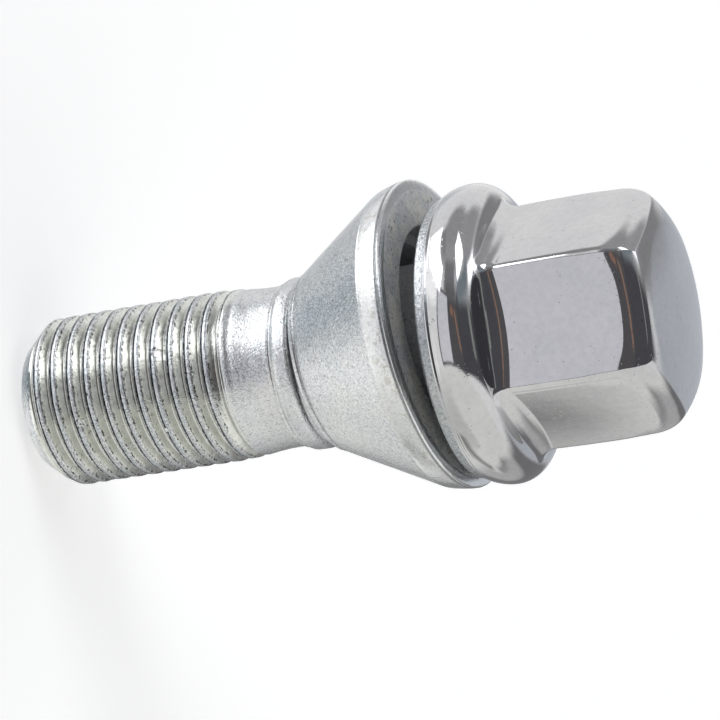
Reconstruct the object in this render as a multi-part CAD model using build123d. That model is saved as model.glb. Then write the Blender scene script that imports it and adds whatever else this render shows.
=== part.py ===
from build123d import *
import os
from math import atan2, cos, degrees, radians, sin, sqrt, tan

# Wheel lug bolt with a loose conical seat ring and a polished cover over its
# hex head. Millimetres. On its side the bolt would roll, so it stands on the
# flat end face of its thread at z = 0, head up, with its axis along +Z.
# Distances "s" below run along the bolt's own axis, with s = 0 in the plane
# of the cover's open rim, positive towards the head, negative to the tip. The
# pieces are drawn with that axis along +X and are stood up at the end.

# ---------------------------------------------------------------- thread
THREAD_MAJOR_D = 14.0        # M14 x 1.5, right hand
THREAD_PITCH = 1.5
TIP_S = -37.6                # end face of the shank
TIP_R = 5.3                  # radius of that end face, at the foot of the lead-in
LEAD_ANGLE_DEG = 39.0        # lead-in chamfer, measured from the axis
THREAD_END_S = -20.55        # where the thread has run out

# ---------------------------------------------------------------- neck and collar
NECK_R = [                   # (s, radius) of the smooth neck after the thread
    (-20.55, 6.98),
    (-19.2, 6.85),
    (-18.0, 6.69),
    (-16.9, 6.59),
    (-16.2, 6.57),
]
WAIST_R = 6.57
STEP_S = -15.10              # fine turned step at the end of the waist
STEP_R = 6.68
COLLAR_R = 7.03              # rolled collar that keeps the ring on the bolt
COLLAR_START_S = -14.20
COLLAR_END_S = -13.25

# ---------------------------------------------------------------- shank under the ring, flange
SHANK_R = 6.55
FLANGE_FACE_S = -0.60        # underside of the flange
UNDERHEAD_FILLET = 1.4
FLANGE_R = 11.27
FLANGE_EDGE_R = 0.35
FLANGE_TOP_S = 2.4           # end of the flange's cylindrical side, under the cover

# ---------------------------------------------------------------- hex
HEX_AF = 17.2                # across flats, over the cover
COVER_T = 0.45               # sheet thickness of the cover
HEX_EDGE_R = 1.0             # rounding of the six long edges of the cover
HEX_TWIST_DEG = 1.3          # turn of the side flat about the axis; plus tips its face down
CROWN_S = 17.48              # highest point of the crowned end
CROWN_SPHERE_R = 46.0        # shallow crown
CROWN_EDGE_R = 3.2           # rounding between crown and corners
CROWN_BODY_R = 10.45         # radius of the turned form that trims the corners

# ---------------------------------------------------------------- cover's bead
RIM_S = 0.30                 # open rim of the cover
RIM_R = 11.72                # outside radius there
BEAD_R = 12.06               # largest outside radius of the bead
BEAD_S = 2.10

# ---------------------------------------------------------------- loose seat ring
RING_LEN = 10.65             # nose to back face
RING_CONE_HALF_DEG = 30.35    # 60 degree seat
RING_NOSE_R = 7.40           # outside radius where the cone starts
RING_BORE_R = 6.90           # short bore at the nose, smaller than the collar
RING_INNER_R = 7.85          # relieved bore behind it
RING_RECESS_R = 8.75         # counterbore in the back face
RING_RECESS_DEPTH = 1.9
RING_R = 12.67               # largest radius, at the rim
RING_LEAN_DEG = 4.38         # the ring hangs leaning against the bolt's axis
RING_YAW_DEG = -1.81
RING_NOSE_S = -12.55         # where the ring's nose centre sits on the bolt
RING_NOSE_UP = -0.12
RING_RIM_AT = 0.35           # the rim's largest circle lies this far before the back face


# ================================================================= placing
def place(solid):
    """From the bolt's own frame (axis along +X) to standing on the thread's end."""
    return Rot(0, -90, 0) * solid


def pt(s, r):
    return (s, 0, r)


def revolved(pts):
    """Closed profile of (s, r) points, turned about the X axis."""
    wire = Polyline(*[pt(s, r) for s, r in pts], close=True)
    return revolve(make_face(wire), axis=Axis.X, revolution_arc=360)


def revolved_edges(*edges):
    """Closed profile of joined lines, arcs and splines, turned about the X axis."""
    return revolve(make_face(Wire(list(edges))), axis=Axis.X, revolution_arc=360)


def arc_between(cs, cr, rad, a0, a1):
    """Arc about (cs, cr) between two directions in degrees."""
    p = [pt(cs + rad * cos(radians(a)), cr + rad * sin(radians(a)))
         for a in (a0, (a0 + a1) / 2, a1)]
    return ThreePointArc(*p)


def hex_prism(af, s0, s1, edge_r):
    """Hexagonal bar along X with rounded long edges, one flat towards -Y."""
    sk = RegularPolygon(radius=af / 2, side_count=6, major_radius=False,
                        rotation=30)
    sk = fillet(sk.vertices(), edge_r)
    bar = extrude(Plane.YZ * sk, amount=s1 - s0)
    bar = Pos(s0, 0, 0) * bar
    return Rot(HEX_TWIST_DEG, 0, 0) * bar


def crowned_bar(af, edge_r, body_r, end_s, sphere_r, round_r, s0):
    """Hexagonal bar whose end is trimmed by a turned, crowned form."""
    bar = hex_prism(af, s0, end_s + 1.0, edge_r)
    # turned form: cylinder body_r, rounded by round_r into a shallow crown
    cc = end_s - sphere_r                       # centre of the crown's sphere
    # circle of radius round_r tangent to the cylinder and inside the sphere
    rc = body_r - round_r
    sc = cc + sqrt((sphere_r - round_r) ** 2 - rc ** 2)
    a_end = degrees(atan2(rc, sc - cc))         # direction from the sphere's centre
    p_end = (sc + round_r * cos(radians(a_end)), rc + round_r * sin(radians(a_end)))
    turned = revolved_edges(
        Line(pt(s0 - 1, 0), pt(s0 - 1, body_r)),
        Line(pt(s0 - 1, body_r), pt(sc, body_r)),
        arc_between(sc, rc, round_r, 90, a_end),
        ThreePointArc(pt(*p_end),
                      pt(cc + sphere_r * cos(radians(a_end / 2)),
                         sphere_r * sin(radians(a_end / 2))),
                      pt(end_s, 0)),
        Line(pt(end_s, 0), pt(s0 - 1, 0)))
    return bar & turned


# ================================================================= bolt
major = THREAD_MAJOR_D / 2
lead_s = TIP_S + (major - TIP_R) / tan(radians(LEAD_ANGLE_DEG))
core_af = HEX_AF - 2 * COVER_T
f_s = FLANGE_FACE_S - UNDERHEAD_FILLET
f_r = SHANK_R + UNDERHEAD_FILLET
n0 = (THREAD_END_S - 0.1, major)
collar_foot = (COLLAR_END_S + 0.32, SHANK_R)
step_top = (STEP_S + 0.06, STEP_R)
bolt = revolved_edges(
    Line(pt(TIP_S, 0), pt(TIP_S, TIP_R)),
    Line(pt(TIP_S, TIP_R), pt(lead_s, major)),
    Line(pt(lead_s, major), pt(*n0)),
    Line(pt(*n0), pt(*NECK_R[0])),
    Spline(*[pt(*p) for p in NECK_R]),
    Line(pt(*NECK_R[-1]), pt(STEP_S, WAIST_R)),
    Line(pt(STEP_S, WAIST_R), pt(*step_top)),
    Spline(pt(*step_top), pt(-14.75, 6.80), pt(-14.48, 6.94), pt(COLLAR_START_S, COLLAR_R)),
    Line(pt(COLLAR_START_S, COLLAR_R), pt(COLLAR_END_S, COLLAR_R)),
    Line(pt(COLLAR_END_S, COLLAR_R), pt(*collar_foot)),
    Line(pt(*collar_foot), pt(f_s, SHANK_R)),
    arc_between(f_s, f_r, UNDERHEAD_FILLET, 270, 360),
    Line(pt(FLANGE_FACE_S, f_r), pt(FLANGE_FACE_S, FLANGE_R - FLANGE_EDGE_R)),
    arc_between(FLANGE_FACE_S + FLANGE_EDGE_R, FLANGE_R - FLANGE_EDGE_R, FLANGE_EDGE_R, 180, 90),
    Line(pt(FLANGE_FACE_S + FLANGE_EDGE_R, FLANGE_R), pt(FLANGE_TOP_S, FLANGE_R)),
    Line(pt(FLANGE_TOP_S, FLANGE_R), pt(3.45, 10.2)),
    Line(pt(3.45, 10.2), pt(4.2, 7.9)),
    Line(pt(4.2, 7.9), pt(4.2, 0)),
    Line(pt(4.2, 0), pt(TIP_S, 0)))
core = crowned_bar(core_af, HEX_EDGE_R - COVER_T, CROWN_BODY_R - COVER_T - 0.10,
                   CROWN_S - COVER_T - 0.05, CROWN_SPHERE_R, CROWN_EDGE_R - COVER_T, 3.0)
bolt = bolt + core


# ================================================================= cover
# The cover's outside is the bead, turned, run together with the crowned hex.
bead_out = [(RIM_S, RIM_R), (0.9, 11.92), (1.5, 12.03), (BEAD_S, BEAD_R), (2.65, 12.03),
            (3.10, 11.88), (3.50, 11.57), (3.82, 11.15), (4.08, 10.68), (4.30, 10.18),
            (4.55, 9.68), (4.90, 9.20), (5.40, 8.82), (6.10, 8.62)]
t = COVER_T
outer = revolved_edges(
    Line(pt(RIM_S, 0), pt(RIM_S, RIM_R)),
    Spline(*[pt(*p) for p in bead_out]),
    Line(pt(*bead_out[-1]), pt(bead_out[-1][0], 0)),
    Line(pt(bead_out[-1][0], 0), pt(RIM_S, 0)))
outer = outer + crowned_bar(HEX_AF, HEX_EDGE_R, CROWN_BODY_R, CROWN_S,
                            CROWN_SPHERE_R, CROWN_EDGE_R, 3.6)
inner = revolved_edges(
    Line(pt(RIM_S - 1, 0), pt(RIM_S - 1, FLANGE_R)),
    Line(pt(RIM_S - 1, FLANGE_R), pt(2.55, FLANGE_R)),
    Line(pt(2.55, FLANGE_R), pt(3.35, 10.75)),
    Line(pt(3.35, 10.75), pt(3.95, 9.4)),
    Line(pt(3.95, 9.4), pt(4.6, 8.6)),
    Line(pt(4.6, 8.6), pt(4.6, 0)),
    Line(pt(4.6, 0), pt(RIM_S - 1, 0)))
inner = inner + crowned_bar(core_af, HEX_EDGE_R - t - 0.05, CROWN_BODY_R - t,
                            CROWN_S - t, CROWN_SPHERE_R, CROWN_EDGE_R - t - 0.1, 3.0)
cover = outer - inner

# ================================================================= loose seat ring
tc = tan(radians(RING_CONE_HALF_DEG))
L = RING_LEN
cone_s1 = 8.50                                   # end of the straight cone
cone_r1 = RING_NOSE_R + (cone_s1 - 0.25) * tc
ring_pts = [
    (0.0, RING_BORE_R + 0.14), (0.0, RING_NOSE_R - 0.22), (0.10, RING_NOSE_R - 0.06),
    (0.25, RING_NOSE_R), (cone_s1, cone_r1), (9.1, 12.44), (9.7, 12.58),
    (L - RING_RIM_AT, RING_R), (L - 0.20, 12.64), (L - 0.10, 12.38), (L - 0.03, 12.0),
    (L, 11.65), (L, RING_RECESS_R), (L - RING_RECESS_DEPTH, RING_RECESS_R - 0.1),
    (L - RING_RECESS_DEPTH - 0.25, RING_INNER_R), (2.3, RING_INNER_R),
    (1.6, RING_BORE_R), (0.28, RING_BORE_R),
]
ring = revolved(ring_pts)
# lean the ring about its nose centre, then carry it to its place on the bolt
ring = Pos(RING_NOSE_S, 0, RING_NOSE_UP) * (Rot(0, 0, RING_YAW_DEG) * (Rot(0, -RING_LEAN_DEG, 0) * ring))

# ================================================================= to the floor
solids = {"threaded_bolt": place(bolt), "head_cover": place(cover), "seat_ring": place(ring)}
low = min(s.bounding_box().min.Z for s in solids.values())
x0 = min(s.bounding_box().min.X for s in solids.values())
x1 = max(s.bounding_box().max.X for s in solids.values())
y0 = min(s.bounding_box().min.Y for s in solids.values())
y1 = max(s.bounding_box().max.Y for s in solids.values())
shift = Pos(-(x0 + x1) / 2, -(y0 + y1) / 2, -low)

os.makedirs("parts", exist_ok=True)
for name, s in solids.items():
    s = shift * s
    export_step(s, "parts/%s.step" % name)
    bb = s.bounding_box()
    print(name, "solids", len(s.solids()), "volume %.1f" % s.volume,
          "z %.3f..%.3f" % (bb.min.Z, bb.max.Z), "x %.3f..%.3f" % (bb.min.X, bb.max.X))
print("shift x %.4f y %.4f z %.4f" % (-(x0 + x1) / 2, -(y0 + y1) / 2, -low))
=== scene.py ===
import math

import bpy
import numpy as np
from mathutils import Matrix, Vector


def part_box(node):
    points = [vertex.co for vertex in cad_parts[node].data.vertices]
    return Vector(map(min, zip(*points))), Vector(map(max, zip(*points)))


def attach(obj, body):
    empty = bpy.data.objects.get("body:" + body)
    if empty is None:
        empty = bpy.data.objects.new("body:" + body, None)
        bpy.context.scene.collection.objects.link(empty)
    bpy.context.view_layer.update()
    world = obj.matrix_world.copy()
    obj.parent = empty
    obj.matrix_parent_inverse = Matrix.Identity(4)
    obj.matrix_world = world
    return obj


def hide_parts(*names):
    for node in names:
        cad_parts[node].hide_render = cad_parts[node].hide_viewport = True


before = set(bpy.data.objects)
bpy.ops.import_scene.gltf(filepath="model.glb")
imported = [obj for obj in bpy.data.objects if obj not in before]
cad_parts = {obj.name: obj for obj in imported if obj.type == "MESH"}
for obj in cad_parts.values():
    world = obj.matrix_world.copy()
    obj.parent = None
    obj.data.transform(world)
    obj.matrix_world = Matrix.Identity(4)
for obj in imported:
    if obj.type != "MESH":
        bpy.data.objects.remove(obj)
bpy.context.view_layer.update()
RNG = np.random.default_rng(11)
TAU = 2 * math.pi

# ------------------------------------------------------------------ the bolt's own frame
# s runs along the axis (0 in the plane of the cover's open rim, + to the head), azimuth
# ph is 0 on the side of flat number one of the hex and grows towards -X of the row frame.
# Lengths are millimetres until they go into a mesh.
TIP_S = -37.6
_lo, _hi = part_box("threaded_bolt")
AX = (_lo.x + _hi.x) * 500
AY = (_lo.y + _hi.y) * 500
AZ = _lo.z * 1000 - TIP_S


def row(s, y, u):
    return np.stack([AX - u, AY + y, AZ + s], -1) / 1000


def turn(s, r, ph):
    return row(s, -r * np.cos(ph), r * np.sin(ph))


def sstep(x, a, b):
    t = np.clip((x - a) / (b - a), 0, 1)
    return t * t * (3 - 2 * t)


def wrap(a):
    return (a + math.pi) % TAU - math.pi


def bump1(x, c, w):
    return np.exp(-(((x - c) / w) ** 2))


class Noise:
    """Smooth seeded noise on a ring: a function of azimuth and s."""

    def __init__(self, n, fmax, smax, seed):
        g = np.random.default_rng(seed)
        self.k = g.integers(-fmax, fmax + 1, n)
        self.w = g.uniform(-smax, smax, n)
        self.p = g.uniform(0, TAU, n)
        self.a = g.uniform(0.4, 1.0, n) / math.sqrt(n)

    def __call__(self, ph, s):
        out = np.zeros(np.broadcast(ph, s).shape)
        for k, w, p, a in zip(self.k, self.w, self.p, self.a):
            out = out + a * np.sin(k * ph + w * s + p)
        return out


# ------------------------------------------------------------------ mesh helpers
def make_mesh(name, co, faces, attrs=None, normals=None, sharp_deg=None):
    me = bpy.data.meshes.new(name)
    me.from_pydata(co.tolist(), [], faces)
    me.validate()
    me.update()
    me.polygons.foreach_set("use_smooth", np.ones(len(me.polygons), bool))
    for key, val in (attrs or {}).items():
        at = me.attributes.new(key, "FLOAT", "POINT")
        at.data.foreach_set("value", np.asarray(val, np.float32))
    if sharp_deg is not None:
        me.set_sharp_from_angle(angle=math.radians(sharp_deg))
    if normals is not None:
        me.normals_split_custom_set_from_vertices([tuple(n) for n in normals])
    ob = bpy.data.objects.new(name, me)
    bpy.context.scene.collection.objects.link(ob)
    return ob


def grid_faces(nc, nr, base=0, closed_rows=False):
    """Quads of a grid of nc columns round the axis (closed) by nr rows; vertex = base + i*nr + j."""
    i = np.arange(nc)[:, None]
    j = np.arange(nr if closed_rows else nr - 1)[None, :]
    i2 = (i + 1) % nc
    j2 = (j + 1) % nr
    f = np.stack([base + i * nr + j, base + i * nr + j2, base + i2 * nr + j2, base + i2 * nr + j], -1)
    return f.reshape(-1, 4).tolist()


def zip_columns(cols, off):
    """Triangles between neighbouring columns of (s, r) points, whose counts may differ."""
    faces = []
    n = len(cols)
    for i in range(n):
        k = (i + 1) % n
        A, B, oa, ob = cols[i], cols[k], off[i], off[k]
        a = b = 0
        na, nb = len(A) - 1, len(B) - 1
        while a < na or b < nb:
            if a == na:
                go_a = False
            elif b == nb:
                go_a = True
            else:
                pa, pb = A[a + 1], B[b + 1]
                go_a = (pa[0] - B[b][0]) ** 2 + (pa[1] - B[b][1]) ** 2 < (pb[0] - A[a][0]) ** 2 + (pb[1] - A[a][1]) ** 2
            if go_a:
                faces.append((oa + a, oa + a + 1, ob + b))
                a += 1
            else:
                faces.append((oa + a, ob + b + 1, ob + b))
                b += 1
    return faces


# ================================================================== threaded bolt
PITCH = 1.5
SEAM_S = -26.53              # the seam of the rolled crest passes here at azimuth 0
MAJOR = 7.0
TIP_R = 5.30
LEAD_END = -35.50
CONE_T = math.tan(math.radians(39))
# one turn of the rolled thread, x from the crest's seam towards the head
XS = np.array([-0.185, -0.15, -0.10, -0.05, 0.0, 0.045, 0.09, 0.24, 0.39, 0.465, 0.515, 0.66,
               0.80, 0.86, 0.92, 0.98, 1.04, 1.18])
_px = [-0.185, -0.15, -0.10, -0.05, 0.0, 0.045, 0.09, 0.24, 0.39, 0.465, 0.515, 0.80, 0.86, 0.92, 0.98, 1.04, 1.315]
_pr = [6.865, 6.925, 6.965, 6.935, 6.815, 6.925, 6.985, 7.000, 6.990, 6.955, 6.865, 6.375, 6.305, 6.285, 6.300, 6.365, 6.865]


def thread_profile(x):
    x = (x + 0.185) % PITCH - 0.185
    return np.interp(x, _px, _pr)


NECK = [(-21.2, 7.00), (-20.55, 6.98), (-19.2, 6.87), (-18.0, 6.70), (-16.9, 6.59), (-16.2, 6.57), (-15.16, 6.57)]
wave = Noise(14, 9, 1.1, 3)
fine = Noise(20, 40, 9.0, 4)


def env(s):
    return np.interp(s, [p[0] for p in NECK], [p[1] for p in NECK])


# dents of the crests: azimuth (deg), s, half widths (deg, mm), depth
DENTS = [(23.7, -28.39, 2.2, 0.16, 0.10), (20.6, -24.55, 3.4, 0.30, 0.11), (-19.8, -31.95, 3.8, 0.30, 0.12),
         (-12.0, -25.35, 1.6, 0.10, 0.07), (29.0, -33.0, 1.6, 0.10, 0.05), (-34.0, -24.9, 2.0, 0.2, 0.07), (5.0, -21.9, 1.8, 0.12, 0.06),
         (41.0, -30.0, 2.0, 0.16, 0.07), (-48.0, -28.3, 2.6, 0.2, 0.08), (110.0, -27.0, 3.0, 0.25, 0.10), (171.0, -31.4, 3.6, 0.28, 0.11),
         (-128.0, -23.5, 2.8, 0.2, 0.09), (-95.0, -33.2, 2.4, 0.2, 0.08), (75.0, -34.0, 2.0, 0.18, 0.07)]


def bolt_r(ph, s):
    seam = SEAM_S - PITCH * ph / TAU
    x = s - seam + 0.012 * wave(ph, s * 0.3)
    depth = 1 - sstep(s, -20.7, -17.9)
    r = env(s) - depth * (MAJOR - thread_profile(x))
    # the folded crest is a little uneven along its length
    xx = (x + 0.185) % PITCH - 0.185
    crest = bump1(xx, 0.2, 0.26)
    r = r - depth * crest * (0.012 + 0.014 * wave(ph * 3, s * 2.0) + 0.008 * fine(ph, s))
    cone = TIP_R + (s - TIP_S) * CONE_T
    r = np.where(s < LEAD_END + 0.6, -np.logaddexp(-r * 26, -cone * 26) / 26, r)
    for a, sc, wa, ws, d in DENTS:
        r = r - d * np.exp(-((np.degrees(wrap(ph - math.radians(a))) / wa) ** 4) - ((s - sc) / ws) ** 2)
    return r


NC = 288
TWIST = math.radians(-1.3)
COLS = []
for i in range(NC):
    ph = TAU * i / NC
    seam = SEAM_S - PITCH * ph / TAU
    ks = np.arange(-9, 8)
    ss = (seam + PITCH * ks[:, None] + XS[None, :]).ravel()
    s_end = -17.55
    notch = 0.55 * (sstep(math.degrees(wrap(ph)), -27.5, -25.2) - sstep(math.degrees(wrap(ph)), -13.5, -9.5))
    rag = 0.035 * float(fine(ph * 2, 3.0)) + 0.05 * float(wave(ph * 2, 1.0))
    tip = TIP_S + max(0.0, 0.03 + rag) + notch
    ss = np.sort(ss[(ss > -36.75) & (ss < s_end)])
    extra = TIP_S + np.array([0.1, 0.3, 0.55])
    extra = tip + (extra - TIP_S) * (-36.75 - tip) / (-36.75 - TIP_S)
    ss = np.concatenate([extra, ss])
    rr = bolt_r(np.full_like(ss, ph), ss)
    r_tip = TIP_R + (tip - TIP_S) * CONE_T * 0.35 - 0.03
    pts = [(TIP_S + 0.38, 0.0), (TIP_S + 0.38, 2.2), (TIP_S + 0.36, 3.6), (TIP_S + 0.26, 4.15), (TIP_S + 0.07, 4.45), (tip + 0.0, 4.66),
           (tip - 0.0, r_tip - 0.22), (tip + 0.02, r_tip - 0.06), (tip + 0.07, r_tip + 0.01)]
    pts[4] = (max(TIP_S + 0.07, tip - 0.1), 4.45)
    pts += list(zip(ss, rr))
    COLS.append(pts)

# neck, step, collar, shank, flange, hex core: the same rows in every column
RUN = [(-17.3, None), (-17.0, None), (-16.7, None), (-16.4, None), (-16.1, None), (-15.8, None), (-15.5, None), (-15.25, None),
       (-15.16, 6.572), (-15.12, 6.61), (-15.08, 6.685), (-15.04, 6.725), (-14.99, 6.735), (-14.93, 6.705), (-14.87, 6.665),
       (-14.80, 6.685), (-14.7, 6.77), (-14.5, 6.93), (-14.35, 7.0), (-14.2, 7.025), (-13.9, 7.03), (-13.5, 7.03), (-13.3, 7.015), (-13.22, 6.96),
       (-13.0, 6.66), (-12.92, 6.56), (-12.8, 6.55), (-10.0, 6.55), (-6.0, 6.55), (-2.02, 6.55), (-1.5, 6.65), (-1.05, 6.92),
       (-0.84, 7.4), (-0.72, 7.95), (-0.72, 9.2), (-0.72, 10.6), (-0.72, 10.95), (-0.70, 11.07), (-0.63, 11.18), (-0.53, 11.245),
       (-0.40, 11.27), (0.1, 11.27), (0.25, 11.268), (0.8, 11.267), (1.6, 11.267), (2.4, 11.26), (3.0, 10.68), (3.45, 10.2),
       (3.8, 9.1), (4.2, 8.3)]


def hex_r(ph, apothem, rho):
    """Polar radius of a hexagon with rounded corners."""
    a = np.abs(((ph - TWIST + math.pi / 6) % (math.pi / 3)) - math.pi / 6)
    flat = apothem / np.cos(a)
    c = (apothem - rho) / math.cos(math.pi / 6)          # corner's rounding centre
    b = math.pi / 6 - a
    disc = np.maximum(rho ** 2 - (c * np.sin(b)) ** 2, 0)
    rnd = c * np.cos(b) + np.sqrt(disc)
    return np.where(b < math.asin(min(1, rho * math.sin(math.pi / 6) / apothem * 0.999)), np.minimum(rnd, flat), flat)


for i in range(NC):
    ph = TAU * i / NC
    pts = COLS[i]
    for s, r in RUN:
        if r is None:
            r = float(env(np.array(s)))
        w = 0.010 * float(wave(ph, s)) if s < -13 else 0.0
        pts.append((s, r + w))
    hx = float(hex_r(np.array(ph), 8.0, 0.65))
    for s, k in [(4.4, 1.0), (6.0, 1.0), (9.0, 1.0), (12.0, 1.0), (14.2, 1.0)]:
        pts.append((s, hx * k))
    cap = hx - 1.3
    for k in range(1, 7):
        a = math.pi / 2 * k / 6
        pts.append((14.2 + 1.3 * math.sin(a), cap + 1.3 * math.cos(a)))
    pts.append((15.75, cap * 0.72))
    pts.append((16.05, cap * 0.4))
    pts.append((16.2, 0.0))

co, off, at_crest, at_seam, at_edge, at_root_shade, at_dent, at_inner, at_rim_specks_and_shade, at_speck_and_shade = [], [], [], [], [], [], [], [], [], []
for i, pts in enumerate(COLS):
    ph = TAU * i / NC
    s = np.array([p[0] for p in pts])
    r = np.array([p[1] for p in pts])
    if i == 0:
        tip_c, top_c = 0, len(pts) - 1
    off.append(sum(len(c) for c in COLS[:i]))
    co.append(turn(s, r, ph))
    seam = SEAM_S - PITCH * ph / TAU
    x = (s - seam + 0.185) % PITCH - 0.185
    zone = (s > -36.9) & (s < -17.6)
    at_crest.append(np.where(zone, sstep(x, -0.19, -0.12) * (1 - sstep(x, 0.42, 0.54)) * (1 - sstep(s, -20.2, -18.6)), 0))
    fade = sstep(s, -19.5, -18.7)
    at_seam.append(np.where(zone, np.maximum(np.clip(np.abs(x), 0, 0.18) / 0.18, fade), 1))
    at_edge.append(np.where(zone, np.maximum(np.clip(np.abs(x - 0.50), 0, 0.18) / 0.18, fade), 1))
    # root_shade: painted shade, darker across each flank towards the thread's root
    at_root_shade.append(np.where(zone, np.clip((x - 0.55) / 0.6, 0, 1) * (x < 1.25), 0))
    at_dent.append(sum(np.exp(-(math.degrees(wrap(ph - math.radians(a))) / wa) ** 4 - ((s - sc) / (ws * 1.2)) ** 2)
                       for a, sc, wa, ws, d in DENTS))
    at_inner.append((sstep(s, -13.0, -12.8) * (1 - sstep(r, 10.9, 11.05)) * (s < 1)))
    # the flange band: more specks, and darkened below as painted shade
    at_rim_specks_and_shade.append(((s > -0.8) & (s < 1.0) & (r > 11.0)) * 1.0)
    az = math.degrees(wrap(ph))
    on_neck = sstep(s, -19.6, -19.0) * (1 - sstep(s, -15.2, -14.8))
    on_collar = sstep(s, -14.1, -13.8) * (1 - sstep(s, -13.3, -13.1))
    # speck_and_shade: more dark specks, and a painted dark blue-grey reflection, on given azimuths of the neck and
    # collar
    at_speck_and_shade.append(on_neck * (math.exp(-((az - 3) / 14.0) ** 4) + 0.8 * math.exp(-((az - 51) / 5.0) ** 2))
                   + on_collar * math.exp(-((az - 34) / 16.0) ** 4))
co = np.concatenate(co)
at_inner, at_rim_specks_and_shade, at_speck_and_shade = np.concatenate(at_inner), np.concatenate(at_rim_specks_and_shade), np.concatenate(at_speck_and_shade)
at_crest = np.concatenate(at_crest)
at_seam = np.concatenate(at_seam)
at_edge = np.concatenate(at_edge)
at_root_shade = np.concatenate(at_root_shade)
at_dent = np.concatenate(at_dent)
faces = zip_columns(COLS, off)
# the first and last points of all columns are one point each
first = np.array(off)
last = np.array([o + len(c) - 1 for o, c in zip(off, COLS)])
remap = np.arange(len(co))
remap[first] = first[0]
remap[last] = last[0]
faces = [tuple(int(remap[v]) for v in f) for f in faces]
faces = [f for f in faces if len(set(f)) == 3]
used = np.zeros(len(co), bool)
used[np.array(faces).ravel()] = True
new = np.cumsum(used) - 1
faces = [tuple(int(new[v]) for v in f) for f in faces]
bolt = make_mesh("threaded_bolt_body", co[used], faces, {
    "crest": at_crest[used], "seam": at_seam[used], "edge": at_edge[used], "root_shade": at_root_shade[used],
    "dent": at_dent[used], "inner": at_inner[used], "rim": at_rim_specks_and_shade[used], "speck_and_shade": at_speck_and_shade[used]}, sharp_deg=50)

# ================================================================== loose seat ring
NR = 320
RP = [(0.03, 7.02), (0.0, 7.06), (0.0, 7.14), (0.02, 7.22), (0.07, 7.31), (0.15, 7.37), (0.25, 7.40), (0.33, 7.465),
      (0.39, 7.495), (0.44, 7.480), (0.50, 7.440), (0.56, 7.450), (0.62, 7.52), (0.69, 7.61), (0.76, 7.665), (0.83, 7.72)]
cone_t = math.tan(math.radians(30.35))
for x in np.linspace(0.9, 8.38, 38):
    RP.append((float(x), 7.40 + (float(x) - 0.25) * cone_t))
RP += [(8.44, 12.192), (8.50, 12.218), (8.58, 12.248), (8.72, 12.295), (8.9, 12.345), (9.2, 12.42), (9.5, 12.487), (9.8, 12.547),
       (10.02, 12.588), (10.10, 12.598), (10.14, 12.575), (10.18, 12.535), (10.24, 12.515), (10.30, 12.530), (10.34, 12.575), (10.37, 12.612),
       (10.41, 12.630), (10.45, 12.612), (10.49, 12.56), (10.53, 12.46), (10.57, 12.31), (10.60, 12.13), (10.625, 11.93), (10.642, 11.76), (10.65, 11.60),
       (10.65, 11.1), (10.65, 10.5), (10.65, 9.9), (10.65, 9.35),
       (10.65, 8.98), (10.635, 8.90), (10.59, 8.82), (10.52, 8.77), (10.4, 8.745), (9.6, 8.70), (8.9, 8.655), (8.77, 8.63), (8.73, 8.55), (8.66, 8.2),
       (8.53, 7.90), (8.40, 7.85), (6.0, 7.85), (4.0, 7.85), (2.4, 7.85), (2.1, 7.6), (1.7, 6.98), (1.55, 6.90), (1.0, 6.90), (0.30, 6.90)]
RP = np.array(RP)
LEAN = math.radians(4.38)
YAW = math.radians(-1.81)
NOSE = np.array([-12.55, 0.0, -0.12])
m_lean = np.array([[math.cos(LEAN), 0, -math.sin(LEAN)], [0, 1, 0], [math.sin(LEAN), 0, math.cos(LEAN)]])
m_yaw = np.array([[math.cos(YAW), -math.sin(YAW), 0], [math.sin(YAW), math.cos(YAW), 0], [0, 0, 1]])
M_RING = m_yaw @ m_lean
ring_noise = Noise(16, 7, 0.8, 8)
ring_fine = Noise(24, 46, 6.0, 9)


def ring_points(x, r, ph):
    p = np.stack([x, -r * np.cos(ph), r * np.sin(ph)], -1)
    q = p @ M_RING.T + NOSE
    return row(q[..., 0], q[..., 1], q[..., 2])


ph = TAU * np.arange(NR) / NR
PH, X = np.meshgrid(ph, RP[:, 0], indexing="ij")
_, R = np.meshgrid(ph, RP[:, 1], indexing="ij")
outer = sstep(X, 0.1, 1.0) * (R > 7.3)
edge = bump1(X, 10.42, 0.3) * (R > 12.1)
R2 = R + outer * (0.008 * ring_noise(PH, X)) - outer * 0.004 - edge * np.maximum(0, 0.012 * ring_fine(PH, X))
backf = (X > 10.5) & (R > 9.1) & (R < 11.7)
X2 = X - backf * np.maximum(0, 0.012 * ring_noise(PH, R) + 0.010 * ring_fine(PH, R))
co = ring_points(X2, R2, PH).reshape(-1, 3)
on_outside = R > 7.3
land = sstep(X, 8.42, 8.52) * (1 - sstep(X, 10.08, 10.14)) * (R > 12.1) + sstep(X, 10.34, 10.38) * (R > 11.7)
# groove_shade: the groove beside the land and the small one on the nose, darkened as painted shade
groove_shade = bump1(X, 10.24, 0.11) * (R > 12.3) + 0.7 * bump1(X, 0.52, 0.06) * (R > 7.42) * (R < 7.6)
stain = sstep(X, 7.7, 9.9) * (R > 11.5) * (1 - sstep(X, 10.05, 10.15))
bore = np.arange(len(RP)) > int(np.argmax((RP[:, 0] > 10.6) & (RP[:, 1] < 9.0)))
inner = np.maximum(sstep(X, 10.60, 10.65) * (1 - sstep(R, 11.55, 11.7)), np.broadcast_to(bore * (RP[:, 0] > 0.5), X.shape)) * 1.0
back = (X > 10.6) * (1 - sstep(R, 11.55, 11.75)) * (R > 8.9)
ring = make_mesh("seat_ring_body", co, grid_faces(NR, len(RP), closed_rows=True), {
    "land": land.ravel(), "groove_shade": groove_shade.ravel(), "stain": stain.ravel(), "inner": inner.ravel(), "back": back.ravel()}, sharp_deg=40)

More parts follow.
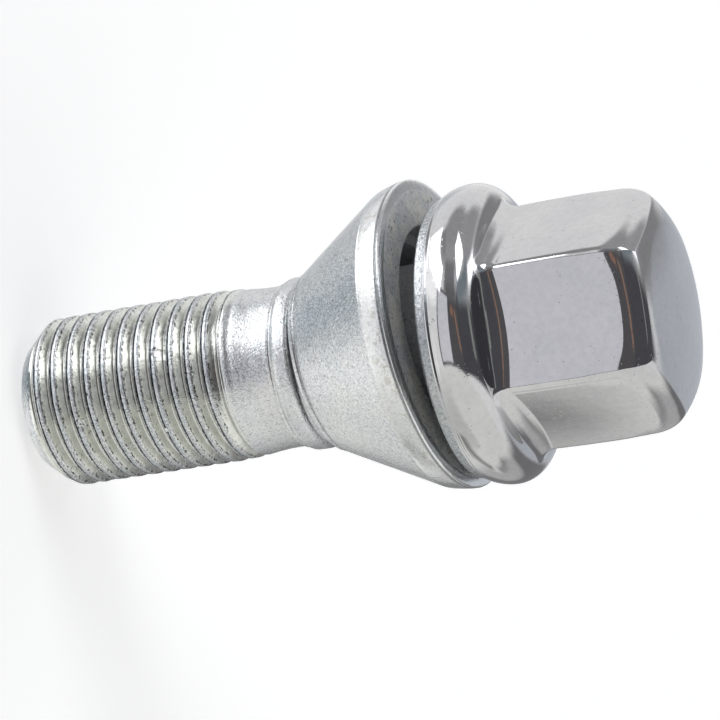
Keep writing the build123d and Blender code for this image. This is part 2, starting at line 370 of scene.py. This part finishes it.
# ================================================================== head cover
AF2 = 8.60
EDGE_R = 0.95
CROWN_S = 17.478
SPHERE_R = 46.0
CHAMFER = math.radians(22.4)   # the end face falls away in a cone outside this radius
CREASE_R = 7.32
BODY_R = 10.50
FLAT_ACROSS, FLAT_ALONG = 120.0, 160.0   # drawn sheet: the flats are very slightly full


def ir(a, b, k):
    return np.minimum(-k, np.maximum(a, b)) + np.hypot(np.maximum(k + a, 0), np.maximum(k + b, 0))


def ur(a, b, k):
    return np.maximum(k, np.minimum(a, b)) - np.hypot(np.maximum(k - a, 0), np.maximum(k - b, 0))


def sd_hex(y, u, apothem, rho):
    ph = np.arctan2(u, -y) - TWIST
    rr = np.hypot(y, u)
    a = (ph + math.pi / 6) % (math.pi / 3) - math.pi / 6
    px, py = rr * np.cos(a), np.abs(rr * np.sin(a))
    ap = apothem - rho
    half = ap * math.tan(math.pi / 6)
    dx = px - ap - 0.045 + np.minimum(py, half) ** 2 / (2 * FLAT_ACROSS)
    corner = (py > half) & (dx > 0)
    d = np.where(corner, np.hypot(dx, py - half), dx)
    # beyond the sector's flat the next flat's distance is the same by symmetry
    return d - rho


BEAD_C = (2.0, 9.4)
BEAD_K = np.polyfit(np.radians([0, 0.5, 11.8, 22.1, 32.8, 43.9, 55.0, 66.1, 77.0, 88.1, 99, 110.2, 118, 126.2]),
                    [2.335, 2.335, 2.352, 2.395, 2.455, 2.535, 2.625, 2.685, 2.690, 2.668, 2.675, 2.718, 2.778, 2.865], 5)


BEAD_K[-1] -= 0.027
LIFT = 0.45


def lift(r):
    """The bead's upper face climbs towards the flats, which lie further in than the corners."""
    q = 9.72 - r
    return LIFT * 0.5 * (q + np.sqrt(q * q + 0.09))


def bead_field(s, r):
    s = s - lift(r)
    ds, dr = s - BEAD_C[0], r - BEAD_C[1]
    th = np.arctan2(dr, ds)
    polar = np.hypot(ds, dr) - np.polyval(BEAD_K, np.clip(th, 0, 2.6))
    flat = s - (BEAD_C[0] + np.polyval(BEAD_K, 0.0))
    return np.where(dr > 0, polar, np.where(ds > 0, flat, -3.0))


FILLET = 1.05
CROWN_FILLET = 1.32


def cover_field(s, y, u):
    r = np.hypot(y, u)
    a = sd_hex(y, u, AF2, EDGE_R) - 0.03 + np.clip(s - 10.0, -6, 6) ** 2 / (2 * FLAT_ALONG)
    b1 = np.hypot(s - (CROWN_S - SPHERE_R), r) - SPHERE_R
    s_crease = CROWN_S - SPHERE_R + math.sqrt(SPHERE_R ** 2 - CREASE_R ** 2)
    c = (s - s_crease) * math.cos(CHAMFER) + (r - CREASE_R) * math.sin(CHAMFER)
    q = 12.2 - s
    b2 = r - BODY_R - 0.2 * (q + np.sqrt(q * q + 2.25))
    head = ir(ir(a, ir(c, b2, 2.0), CROWN_FILLET), b1, 0.28)
    return ur(head, bead_field(s, r) * 0.95, FILLET)


def cover_grad(s, y, u, e=1e-4):
    g = np.stack([cover_field(s + e, y, u) - cover_field(s - e, y, u),
                  cover_field(s, y + e, u) - cover_field(s, y - e, u),
                  cover_field(s, y, u + e) - cover_field(s, y, u - e)], -1)
    g = g / (2 * e)
    size = np.linalg.norm(g, axis=-1)
    return g / size[..., None], size


# columns gather at the six corners
half = np.concatenate([np.arange(0, 4.3, 0.36), np.array([4.7, 5.3, 6.1, 7.2, 8.7, 10.7, 13.3, 16.4, 19.8, 23.2, 26.6])])
offs = np.concatenate([-half[:0:-1], half])
angs = []
for k in range(6):
    c = 30 + 60 * k
    angs += [c + o for o in offs] + [c + 30.0]
PHC = np.radians(np.array(angs)) + TWIST
NCC = len(PHC)
S0 = 0.6
RIM_S = 0.30
a0 = math.atan2(11.70, RIM_S - S0)
fan = np.linspace(a0 + 0.02, 0.0, 1700)
A, P = np.meshgrid(fan, PHC)
lo = np.full(A.shape, 2.0)
hi = np.full(A.shape, 19.0)
ca, sa = np.cos(A), np.sin(A)
cp, sp = np.cos(P), np.sin(P)
for _ in range(34):
    mid = (lo + hi) / 2
    r = mid * sa
    inside = cover_field(S0 + mid * ca, -r * cp, r * sp) < 0
    lo = np.where(inside, mid, lo)
    hi = np.where(inside, hi, mid)
RS, RR = S0 + hi * ca, hi * sa
NROW = 232
grid_s = np.zeros((NCC, NROW))
grid_r = np.zeros((NCC, NROW))
for i in range(NCC):
    s, r = RS[i], RR[i]
    keep = s >= RIM_S
    k0 = int(np.argmax(keep))
    f = (RIM_S - s[k0 - 1]) / (s[k0] - s[k0 - 1])
    s = np.concatenate([[RIM_S], s[k0:]])
    r = np.concatenate([[r[k0 - 1] + f * (r[k0] - r[k0 - 1])], r[k0:]])
    d = np.hypot(np.diff(s), np.diff(r))
    sm, rm = (s[1:] + s[:-1]) / 2, (r[1:] + r[:-1]) / 2
    w = (2.0 + 10 * (1 - sstep(sm, 5.8, 7.0)) + 7 * bump1(sm, 5.0, 0.8) + 9 * sstep(sm, 13.2, 14.4) * sstep(rm, 6.2, 7.4)
         + 26 * bump1(rm, CREASE_R, 0.22) * (sm > 15))
    cum = np.concatenate([[0], np.cumsum(d * w)])
    t = np.linspace(0, cum[-1], NROW)
    grid_s[i] = np.interp(t, cum, s)
    grid_r[i] = np.interp(t, cum, r)
grid_s[:, -1] = CROWN_S
grid_r[:, -1] = 0
PC = np.repeat(PHC[:, None], NROW, 1)
gy, gu = -grid_r * np.cos(PC), grid_r * np.sin(PC)
gs = grid_s.copy()
for _ in range(3):  # onto the exact surface
    n, size = cover_grad(gs, gy, gu)
    f = cover_field(gs, gy, gu) / size
    step = f[..., None] * n
    step[:, 0] = 0
    step[:, -1] = 0
    gs, gy, gu = gs - step[..., 0], gy - step[..., 1], gu - step[..., 2]
N, _ = cover_grad(gs, gy, gu)
N[:, -1] = (1, 0, 0)
# the sheet's rim is crimped in a little
rr = np.hypot(gy, gu)
crimp = 0.075 * (1 - sstep(gs, 0.30, 0.80)) ** 1.0 * (gs < 0.85) + 0.02 * bump1(gs, 0.80, 0.05) * (gs < 1.3)
k = (rr - crimp) / rr
gy, gu = np.where(rr > 1, gy * k, gy), np.where(rr > 1, gu * k, gu)
sl = np.gradient(crimp, axis=1) / np.maximum(np.gradient(gs, axis=1), 1e-4)
sl = np.where(gs < 1.2, np.clip(sl, -1, 1), 0)
N[..., 0] += sl
N /= np.linalg.norm(N, axis=-1, keepdims=True)
# inner wall: the sheet is 0.45 mm thick
T = 0.45
pick = np.unique(np.concatenate([np.arange(0, 70, 5), np.arange(70, NROW - 1, 6)]))
ins, iny, inu = gs[:, pick] - T * N[:, pick, 0], gy[:, pick] - T * N[:, pick, 1], gu[:, pick] - T * N[:, pick, 2]
rin = np.hypot(iny[:, 0], inu[:, 0])
ins[:, 0] = RIM_S
iny[:, 0] *= 11.275 / rin
inu[:, 0] *= 11.275 / rin
outer_co = row(gs, gy, gu)
inner_co = row(ins, iny, inu)
nn = np.stack([-N[..., 2], N[..., 1], N[..., 0]], -1)
top = np.mean(outer_co[:, -1], 0)
verts = [outer_co[:, :-1].reshape(-1, 3), inner_co.reshape(-1, 3), top[None], row(np.array([CROWN_S - T]), np.array([0.0]), np.array([0.0]))]
n_out = NCC * (NROW - 1)
n_in = inner_co.shape[0] * inner_co.shape[1]
nin = len(pick)
faces = grid_faces(NCC, NROW - 1)
faces += [tuple(reversed(f)) for f in grid_faces(NCC, nin, base=n_out)]
i = np.arange(NCC)
i2 = (i + 1) % NCC
faces += np.stack([n_out + i * nin, i * (NROW - 1), i2 * (NROW - 1), n_out + i2 * nin], -1).tolist()
pt, pb = n_out + n_in, n_out + n_in + 1
faces += np.stack([i * (NROW - 1) + NROW - 2, np.full(NCC, pt), i2 * (NROW - 1) + NROW - 2], -1).tolist()
faces += np.stack([n_out + i2 * nin + nin - 1, np.full(NCC, pb), n_out + i * nin + nin - 1], -1).tolist()
co = np.concatenate(verts)
cover = make_mesh("head_cover_shell", co, faces)
# exact normals on the polished outside
me = cover.data
loop_v = np.zeros(len(me.loops), np.int32)
me.loops.foreach_get("vertex_index", loop_v)
vn = np.zeros(len(me.vertices) * 3, np.float32)
me.vertices.foreach_get("normal", vn)
vn = vn.reshape(-1, 3)
vn[:n_out] = nn[:, :-1].reshape(-1, 3)
vn[pt] = (0, 0, 1)
loop_n = vn[loop_v].astype(np.float64)
# the rim's flat edge keeps its own flat normals
poly_start = np.zeros(len(me.polygons), np.int32)
poly_tot = np.zeros(len(me.polygons), np.int32)
me.polygons.foreach_get("loop_start", poly_start)
me.polygons.foreach_get("loop_total", poly_tot)
n_grid = NCC * (NROW - 2) + NCC * (nin - 1)
for p in range(n_grid, n_grid + NCC):
    loop_n[poly_start[p]:poly_start[p] + poly_tot[p]] = (0, 0, -1)
me.normals_split_custom_set(loop_n.tolist())


# ================================================================== materials
def new_mat(name):
    m = bpy.data.materials.new(name)
    m.use_nodes = True
    nt = m.node_tree
    b = nt.nodes["Principled BSDF"]
    return m, nt, b


def nd(nt, kind, **kw):
    n = nt.nodes.new(kind)
    for k, v in kw.items():
        if k in ("operation", "data_type", "blend_type", "interpolation_type", "noise_dimensions", "feature", "distance", "attribute_name",
                 "noise_type", "voronoi_dimensions"):
            setattr(n, k, v)
        else:
            n.inputs[k].default_value = v
    return n


def noise(nt, vec, scale, detail=2.0, rough=0.5, dist=0.0):
    n = nd(nt, "ShaderNodeTexNoise", Scale=scale, Detail=detail, Roughness=rough, Distortion=dist)
    nt.links.new(vec, n.inputs["Vector"])
    return n.outputs["Fac"]


def ramp(nt, fac, stops):
    r = nt.nodes.new("ShaderNodeValToRGB")
    e = r.color_ramp.elements
    while len(e) < len(stops):
        e.new(0.5)
    for el, (p, c) in zip(e, stops):
        el.position = p
        el.color = (c, c, c, 1) if isinstance(c, (int, float)) else (*c, 1)
    nt.links.new(fac, r.inputs["Fac"])
    return r.outputs["Color"]


def math_n(nt, op, a, b=None, clamp=False):
    n = nd(nt, "ShaderNodeMath", operation=op)
    n.use_clamp = clamp
    for i, v in enumerate((a, b)):
        if v is None:
            continue
        if isinstance(v, (int, float)):
            n.inputs[i].default_value = v
        else:
            nt.links.new(v, n.inputs[i])
    return n.outputs[0]


def mixc(nt, fac, a, b, blend="MIX"):
    n = nt.nodes.new("ShaderNodeMix")
    n.data_type = "RGBA"
    n.blend_type = blend
    for idx, v in ((0, fac), (6, a), (7, b)):
        if isinstance(v, (int, float)):
            n.inputs[idx].default_value = v
        elif isinstance(v, tuple):
            n.inputs[idx].default_value = (*v, 1)
        else:
            nt.links.new(v, n.inputs[idx])
    return n.outputs[2]


def bump(nt, height, strength, dist, prev=None):
    n = nd(nt, "ShaderNodeBump", Strength=strength, Distance=dist)
    nt.links.new(height, n.inputs["Height"])
    if prev is not None:
        nt.links.new(prev, n.inputs["Normal"])
    return n.outputs["Normal"]


def coords(nt):
    return nt.nodes.new("ShaderNodeTexCoord").outputs["Object"]


def zinc(name, ring_like):
    m, nt, b = new_mat(name)
    vec = coords(nt)
    b.inputs["Metallic"].default_value = 1.0

    def attr(key):
        return nd(nt, "ShaderNodeAttribute", attribute_name=key).outputs["Fac"]

    big = noise(nt, vec, 300, 3, 0.6)
    mid = noise(nt, vec, 1500, 3, 0.6)
    grain = noise(nt, vec, 10500, 2, 0.7)
    grain2 = noise(nt, vec, 4600, 3, 0.75)
    base = ramp(nt, big, [(0.30, (0.70, 0.725, 0.745)), (0.52, (0.755, 0.765, 0.77)), (0.72, (0.80, 0.79, 0.775))])
    speck = ramp(nt, grain, [(0.36, (0.34, 0.39, 0.43)), (0.49, (0.80, 0.82, 0.83)), (0.60, (1.0, 1.0, 1.0))])
    blotch = ramp(nt, grain2, [(0.34, (0.46, 0.50, 0.54)), (0.47, (0.84, 0.85, 0.86)), (0.60, (1.0, 1.0, 1.0))])
    if ring_like:
        amount = math_n(nt, "SUBTRACT", 0.46, math_n(nt, "MULTIPLY", attr("land"), 0.16))
        base = mixc(nt, 0.16, base, (1.0, 1.0, 1.0))
    else:
        amount = math_n(nt, "ADD", 0.30, math_n(nt, "MULTIPLY", math_n(nt, "MAXIMUM", attr("crest"), math_n(nt, "MAXIMUM", math_n(nt, "MULTIPLY", attr("speck_and_shade"), 0.7), attr("rim"))), 0.50))
    col = mixc(nt, amount, base, speck, "MULTIPLY")
    col = mixc(nt, amount, col, blotch, "MULTIPLY")
    # short dark curved scratches and pores
    mp = nd(nt, "ShaderNodeMapping", Scale=(1.0, 0.5, 0.8), Rotation=(0.5, 0.2, 0.6))
    nt.links.new(vec, mp.inputs["Vector"])
    pores = ramp(nt, noise(nt, mp.outputs["Vector"], 4600, 3, 0.72, 1.2), [(0.30, 1.0), (0.35, 0.0)])
    level = math_n(nt, "ABSOLUTE", math_n(nt, "SUBTRACT", noise(nt, vec, 2500, 2, 0.6, 1.6), 0.5))
    hair = math_n(nt, "MULTIPLY", ramp(nt, level, [(0.010, 1.0), (0.026, 0.0)]),
                  ramp(nt, noise(nt, vec, 2900, 2, 0.6), [(0.51, 0.0), (0.55, 1.0)]))
    dirt = math_n(nt, "MAXIMUM", pores, math_n(nt, "MULTIPLY", hair, 0.8))
    if ring_like:
        land, groove_shade, stain = attr("land"), attr("groove_shade"), attr("stain")
        dirt = math_n(nt, "MULTIPLY", dirt, math_n(nt, "SUBTRACT", 1.0, math_n(nt, "MULTIPLY", land, 0.55)))
        col = mixc(nt, math_n(nt, "MULTIPLY", land, 0.35), col, (0.86, 0.87, 0.87))
        old = math_n(nt, "MULTIPLY", attr("back"), ramp(nt, noise(nt, vec, 500, 3, 0.6), [(0.44, 0.0), (0.60, 0.7)]))
        col = mixc(nt, old, col, (0.90, 0.88, 0.81))
        old = math_n(nt, "MULTIPLY", attr("back"), ramp(nt, noise(nt, vec, 3000, 3, 0.7), [(0.35, 0.8), (0.40, 0.0)]))
        col = mixc(nt, old, col, (0.14, 0.14, 0.13))
        brown = math_n(nt, "MULTIPLY", stain, ramp(nt, noise(nt, vec, 1300, 4, 0.75), [(0.53, 0.0), (0.60, 0.45)]))
        col = mixc(nt, brown, col, (0.40, 0.35, 0.28))
        # painted shade in the ring's grooves
        col = mixc(nt, math_n(nt, "MULTIPLY", groove_shade, 0.75), col, (0.13, 0.14, 0.14))
    col = mixc(nt, math_n(nt, "MULTIPLY", dirt, 0.78), col, (0.08, 0.08, 0.08))
    rough = ramp(nt, mid, [(0.3, 0.11), (0.7, 0.19)])
    if ring_like:
        rough = mixc(nt, math_n(nt, "MULTIPLY", land, 0.7), rough, (0.13, 0.13, 0.13))
        fine_amt = math_n(nt, "SUBTRACT", 1.0, math_n(nt, "MULTIPLY", land, 0.75))
    else:
        at, seam, edge, root_shade, dent = attr("crest"), attr("seam"), attr("edge"), attr("root_shade"), attr("dent")
        geo = nt.nodes.new("ShaderNodeSeparateXYZ")
        nt.links.new(vec, geo.inputs[0])
        z = geo.outputs["Z"]
        thr = math_n(nt, "SUBTRACT", 1.0, math_n(nt, "MULTIPLY", math_n(nt, "SUBTRACT", z, 0.0180), 900.0, clamp=True), clamp=True)
        thr = math_n(nt, "MULTIPLY", thr, math_n(nt, "MULTIPLY", math_n(nt, "SUBTRACT", z, 0.0007), 1400.0, clamp=True), clamp=True)
        flank = math_n(nt, "MULTIPLY", thr, math_n(nt, "SUBTRACT", 1.0, at, clamp=True), clamp=True)
        # rolled flanks are smooth with a faint yellow-green passivation; the darkening towards the root is painted
        # shade
        tint = ramp(nt, mid, [(0.3, (0.68, 0.69, 0.65)), (0.7, (0.85, 0.86, 0.82))])
        tint = mixc(nt, math_n(nt, "MULTIPLY", root_shade, 0.52), tint, (0.34, 0.35, 0.33))
        col = mixc(nt, flank, col, tint)
        jag = math_n(nt, "MULTIPLY", math_n(nt, "SUBTRACT", noise(nt, vec, 3600, 3, 0.75), 0.5), 1.5)
        crack = ramp(nt, math_n(nt, "ADD", seam, jag), [(0.20, 1.0), (0.42, 0.0)])
        col = mixc(nt, math_n(nt, "MULTIPLY", crack, 0.92), col, (0.05, 0.05, 0.055))
        jag2 = math_n(nt, "MULTIPLY", math_n(nt, "SUBTRACT", noise(nt, vec, 3000, 3, 0.8), 0.44), 2.2)
        burr = ramp(nt, math_n(nt, "ADD", edge, jag2), [(0.10, 1.0), (0.28, 0.0)])
        col = mixc(nt, math_n(nt, "MULTIPLY", burr, 0.9), col, (0.05, 0.05, 0.05))
        spots = ramp(nt, noise(nt, vec, 2500, 3, 0.78), [(0.32, 1.0), (0.35, 0.0)])
        col = mixc(nt, math_n(nt, "MULTIPLY", math_n(nt, "MULTIPLY", spots, thr), 0.9), col, (0.05, 0.05, 0.045))
        # dents: a bright flattened patch with a dark rim
        dd = math_n(nt, "ADD", dent, math_n(nt, "MULTIPLY", math_n(nt, "SUBTRACT", noise(nt, vec, 3300, 3, 0.8), 0.5), 2.4))
        dd = math_n(nt, "MULTIPLY", dd, math_n(nt, "GREATER_THAN", dent, 0.08))
        col = mixc(nt, ramp(nt, dd, [(0.55, 0.0), (0.72, 0.9)]), col, (0.95, 0.96, 0.97))
        nick = math_n(nt, "MULTIPLY", ramp(nt, noise(nt, vec, 4200, 3, 0.8), [(0.40, 1.0), (0.46, 0.0)]), math_n(nt, "GREATER_THAN", dent, 0.15))
        col = mixc(nt, math_n(nt, "MULTIPLY", nick, 0.85), col, (0.06, 0.06, 0.06))
        rough = mixc(nt, flank, rough, ramp(nt, mid, [(0.3, 0.17), (0.7, 0.26)]))
        fine_amt = math_n(nt, "SUBTRACT", 1.0, math_n(nt, "MULTIPLY", flank, 0.8))
    h = math_n(nt, "ADD", math_n(nt, "MULTIPLY", grain, 0.7), math_n(nt, "MULTIPLY", grain2, 1.0))
    h = math_n(nt, "MULTIPLY", h, fine_amt)
    nrm = bump(nt, mid, 0.40, 0.00008)
    nrm = bump(nt, h, 0.75, 0.00005, nrm)
    # the shaded inner faces are duller
    dull = attr("inner")
    rough = mixc(nt, dull, rough, (0.5, 0.5, 0.5))
    nt.links.new(math_n(nt, "SUBTRACT", 1.0, math_n(nt, "MULTIPLY", dull, 0.3)), b.inputs["Metallic"])
    if not ring_like:
        # painted shade: the flange band under the cover's rim is darkened towards blue-grey
        col = mixc(nt, math_n(nt, "MULTIPLY", attr("rim"), 0.75), col, mixc(nt, 0.5, col, (0.22, 0.24, 0.25)))
        # painted reflection: the neck and collar are darkened towards blue-grey
        col = mixc(nt, math_n(nt, "MULTIPLY", attr("speck_and_shade"), 0.12), col, (0.40, 0.44, 0.48))
    nt.links.new(col, b.inputs["Base Color"])
    nt.links.new(rough, b.inputs["Roughness"])
    nt.links.new(nrm, b.inputs["Normal"])
    return m


def polished():
    m, nt, b = new_mat("polished_steel")
    vec = coords(nt)
    b.inputs["Metallic"].default_value = 1.0
    big = noise(nt, vec, 260, 3, 0.55)
    col = ramp(nt, big, [(0.3, (0.545, 0.545, 0.56)), (0.7, (0.59, 0.59, 0.595))])
    mp = nd(nt, "ShaderNodeMapping", Scale=(1.0, 1.0, 0.06))
    nt.links.new(vec, mp.inputs["Vector"])
    scr = noise(nt, mp.outputs["Vector"], 9000, 2, 0.6, 0.4)
    line = ramp(nt, scr, [(0.60, 0.0), (0.70, 1.0)])
    mott = ramp(nt, noise(nt, vec, 1900, 3, 0.7), [(0.36, 0.93), (0.62, 1.0)])
    col = mixc(nt, 1.0, col, mott, "MULTIPLY")
    dots = ramp(nt, noise(nt, vec, 3000, 2, 0.7), [(0.265, 1.0), (0.30, 0.0)])
    col = mixc(nt, math_n(nt, "MULTIPLY", dots, 0.75), col, (0.12, 0.12, 0.12))
    rough = ramp(nt, noise(nt, vec, 900, 4, 0.6), [(0.3, 0.02), (0.75, 0.05)])
    rough = math_n(nt, "ADD", rough, math_n(nt, "MULTIPLY", line, 0.05))
    pit = ramp(nt, noise(nt, vec, 3800, 2, 0.7), [(0.27, 1.0), (0.34, 0.0)])
    nrm = bump(nt, noise(nt, vec, 420, 2, 0.5), 0.12, 0.00006)
    nrm = bump(nt, math_n(nt, "ADD", math_n(nt, "MULTIPLY", scr, 0.4), math_n(nt, "ADD", dots, pit)), 0.16, 0.00002, nrm)
    nt.links.new(col, b.inputs["Base Color"])
    nt.links.new(rough, b.inputs["Roughness"])
    nt.links.new(nrm, b.inputs["Normal"])
    return m


M_BOLT = zinc("zinc_plated_bolt", False)
M_RINGM = zinc("zinc_plated_ring", True)
M_COVER = polished()
bolt.data.materials.append(M_BOLT)
ring.data.materials.append(M_RINGM)
cover.data.materials.append(M_COVER)

# ================================================================== hand over to the frame
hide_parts("threaded_bolt")
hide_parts("seat_ring")
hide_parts("head_cover")
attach(bolt, "bolt")
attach(cover, "bolt")
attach(ring, "ring")

# ================================================================== camera
# The bolt's axis in the camera's own axes (right, up, back), and where s = 0 lies
a, t = math.radians(20.74), math.radians(9.05)
D = np.array([math.cos(a) * math.cos(t), math.cos(a) * math.sin(t), math.sin(a)])
P0 = np.array([8.97, 1.80, -293.89])
E1 = np.array([0, 1.0, 0]) - D[1] * D
E1 /= np.linalg.norm(E1)
E2 = np.cross(E1, D)          # towards the camera
E2 = E2 if E2[2] > 0 else -E2
# rows of this matrix: the row frame's x, y, z seen in the camera's axes
to_cam = np.stack([-E1, -E2, D], 1)      # columns: images of row x (= -u), y, z (= s)
origin = np.array([AX, AY, AZ])
cam_pos = origin + to_cam.T @ (-P0)
rot = to_cam.T                            # camera axes expressed in the row frame, as columns
cam_data = bpy.data.cameras.new("camera")
cam = bpy.data.objects.new("camera", cam_data)
bpy.context.scene.collection.objects.link(cam)
M = Matrix.Identity(4)
for i in range(3):
    for j in range(3):
        M[i][j] = float(rot[i][j])
    M[i][3] = float(cam_pos[i]) / 1000
cam.matrix_world = M
cam_data.sensor_width = 36
cam_data.lens = 3694 / 720 * 36
cam_data.clip_start = 0.01
cam_data.clip_end = 20
bpy.context.scene.camera = cam
CR, CU, CB = [Vector(rot[:, i].tolist()) for i in range(3)]     # right, up, back of the photo's view

# ================================================================== floor and light
fl = bpy.data.meshes.new("floor")
fl.from_pydata([(-3, -3, -0.00002), (3, -3, -0.00002), (3, 3, -0.00002), (-3, 3, -0.00002)], [], [(0, 1, 2, 3)])
floor = bpy.data.objects.new("floor", fl)
bpy.context.scene.collection.objects.link(floor)
fm, nt, b = new_mat("floor_paper")
b.inputs["Base Color"].default_value = (0.93, 0.93, 0.93, 1)
b.inputs["Roughness"].default_value = 0.9
b.inputs["Specular IOR Level"].default_value = 0.1
b.inputs["Emission Color"].default_value = (1, 1, 1, 1)
b.inputs["Emission Strength"].default_value = 0.42
floor.data.materials.append(fm)
floor.visible_glossy = False

world = bpy.data.worlds.new("studio")
bpy.context.scene.world = world
world.use_nodes = True
nt = world.node_tree
nt.nodes.clear()
tc = nt.nodes.new("ShaderNodeTexCoord").outputs["Generated"]


def dot(v):
    n = nd(nt, "ShaderNodeVectorMath", operation="DOT_PRODUCT")
    nt.links.new(tc, n.inputs[0])
    n.inputs[1].default_value = v
    return n.outputs["Value"]


def soft(value, lo, hi):
    n = nt.nodes.new("ShaderNodeMapRange")
    n.interpolation_type = "SMOOTHSTEP"
    nt.links.new(value, n.inputs["Value"])
    n.inputs["From Min"].default_value = lo
    n.inputs["From Max"].default_value = hi
    return n.outputs["Result"]


def view_dir(x, y, z):
    """A direction given by the photo's right, up and back, in the row frame."""
    v = CR * x + CU * y + CB * z
    return v.normalized()


X_, Y_, Z_ = dot(view_dir(1, 0, 0)), dot(view_dir(0, 1, 0)), dot(view_dir(0, 0, 1))
AZ_ = math_n(nt, "DEGREES", math_n(nt, "ARCTAN2", X_, Z_))       # 0 towards the photo's viewer, + to the right
EL_ = math_n(nt, "DEGREES", math_n(nt, "ARCSINE", Y_))


def patch(a0, e0, w, h, tilt=0, f=3, fh=None):
    """A softbox-shaped patch of the sky at azimuth a0, elevation e0, with half sizes w and h in degrees."""
    fh = f if fh is None else fh
    da = nd(nt, "ShaderNodeMath", operation="WRAP")
    nt.links.new(math_n(nt, "SUBTRACT", AZ_, float(a0)), da.inputs[0])
    da.inputs[1].default_value = 180
    da.inputs[2].default_value = -180
    da = da.outputs[0]
    de = math_n(nt, "SUBTRACT", EL_, float(e0))
    c, sn = math.cos(math.radians(tilt)), math.sin(math.radians(tilt))
    x = math_n(nt, "ADD", math_n(nt, "MULTIPLY", da, c), math_n(nt, "MULTIPLY", de, sn))
    y = math_n(nt, "SUBTRACT", math_n(nt, "MULTIPLY", de, c), math_n(nt, "MULTIPLY", da, sn))
    mx = soft(math_n(nt, "ABSOLUTE", x), w + f, w - f)
    my = soft(math_n(nt, "ABSOLUTE", y), h + fh, h - fh)
    return math_n(nt, "MULTIPLY", mx, my)


def band(lo0, lo1, f0, hi0, hi1, f1, a0, a1, fa=4):
    """Sky between two slanting lines of elevation, from azimuth a0 to a1."""
    low = math_n(nt, "SUBTRACT", EL_, math_n(nt, "ADD", math_n(nt, "MULTIPLY", AZ_, lo1), float(lo0)))
    high = math_n(nt, "SUBTRACT", EL_, math_n(nt, "ADD", math_n(nt, "MULTIPLY", AZ_, hi1), float(hi0)))
    m = math_n(nt, "MULTIPLY", soft(low, -f0, f0), soft(high, f1, -f1))
    if a1 - a0 < 359:
        m = math_n(nt, "MULTIPLY", m, math_n(nt, "MULTIPLY", soft(AZ_, a0 - fa, a0 + fa), soft(AZ_, a1 + fa, a1 - fa)))
    return m


base = (1.04, 1.04, 1.04)
for mask, colour in [
    # the pale table below
    (band(-95, 0, 2, -24, 0, 3, -185, 185), (0.97, 0.97, 0.94)),
    # the ceiling, grey in front and overhead
    (band(46, 0, 8, 100, 0, 2, -112, 126, 12), (0.47, 0.47, 0.48)),
    (band(67, 0, 6, 100, 0, 2, -185, 185, 2), (0.44, 0.44, 0.45)),
    (patch(-16, 43, 26, 14, 0, 6, 5), (0.28, 0.28, 0.29)),
    (patch(98, 42, 30, 12, 0, 8, 5), (0.45, 0.45, 0.46)),
    # shade low behind the bolt
    (patch(-100, -62, 34, 24, 0, 14), (0.76, 0.76, 0.73)),
    (patch(138, -54, 26, 8, 0, 9, 5), (0.40, 0.40, 0.40)),
    (patch(152, -42, 41, 10, 0, 9, 6), (0.58, 0.58, 0.58)),
    (patch(152, -20, 41, 13, 0, 9, 6), (0.24, 0.24, 0.245)),
    (patch(-149, -58, 34, 3.5, 0, 6, 6), (0.26, 0.26, 0.26)),
    # bluish wall on the end face's side, and a darker corner over it
    (patch(150, 2.5, 34, 11, 0, 5, 2), (0.57, 0.60, 0.645)),
    (patch(128, 20, 21, 9, 0, 9, 4), (0.33, 0.33, 0.34)),
    # the dark room behind the viewer
    (band(-23, 0.0, 2.0, 36, 0, 12, -32, 20, 3), (0.125, 0.12, 0.125)),
    (band(-25, 0.20, 2.0, 40, -0.22, 8, 14, 112, 3), (0.10, 0.10, 0.11)),
    (band(26, 0, 6, 44, 0, 6, 20, 75, 6), (0.26, 0.30, 0.33)),
    (patch(-11, 20, 5, 3.5, -15, 2), (0.37, 0.21, 0.15)),
    (patch(6, 7, 2.6, 15, 20, 1.5, 4), (0.38, 0.24, 0.18)),
    (patch(68, 11, 4.5, 11, 8, 2.5), (0.34, 0.36, 0.34)),
    # a window in its dark frame
    (patch(-44, 4, 19.5, 27, 0, 1.5), (0.16, 0.16, 0.17)),
    (patch(-44, 4, 17, 24.5, 0, 1.2), (0.86, 0.86, 0.91)),
    # the studio's left side, seen only by the dull zinc
    (patch(-150, 20, 26, 12, 0, 10, 6), (0.66, 0.68, 0.70)),
    (patch(-118, 9, 25, 10, 0, 8, 5), (0.10, 0.16, 0.21)),
    (patch(-106, -16, 24, 10, 0, 8, 6), (1.4, 1.4, 1.38)),
    (patch(-96, 25, 30, 9, 0, 6, 5), (1.5, 1.5, 1.5)),
    # three softboxes
    (patch(-80, 62, 26, 5, -5, 8, 3), (0.36, 0.36, 0.37)),
    (patch(-86, 43, 33, 9.5, -11, 2), (5.0, 5.0, 5.15)),
    (patch(43, 59, 21, 14, 10, 2), (3.6, 3.6, 3.7)),
    (patch(93, 28, 13, 4, -17, 2.5), (2.3, 2.3, 2.4)),
]:
    base = mixc(nt, mask, base, colour)
lp = nt.nodes.new("ShaderNodeLightPath")
sky = mixc(nt, lp.outputs["Is Camera Ray"], base, (1.0, 1.0, 1.0))
bg = nt.nodes.new("ShaderNodeBackground")
nt.links.new(sky, bg.inputs["Color"])
bg.inputs["Strength"].default_value = 1.0
out = nt.nodes.new("ShaderNodeOutputWorld")
nt.links.new(bg.outputs[0], out.inputs["Surface"])

sc = bpy.context.scene
sc.view_settings.view_transform = "Standard"
sc.view_settings.look = "None"
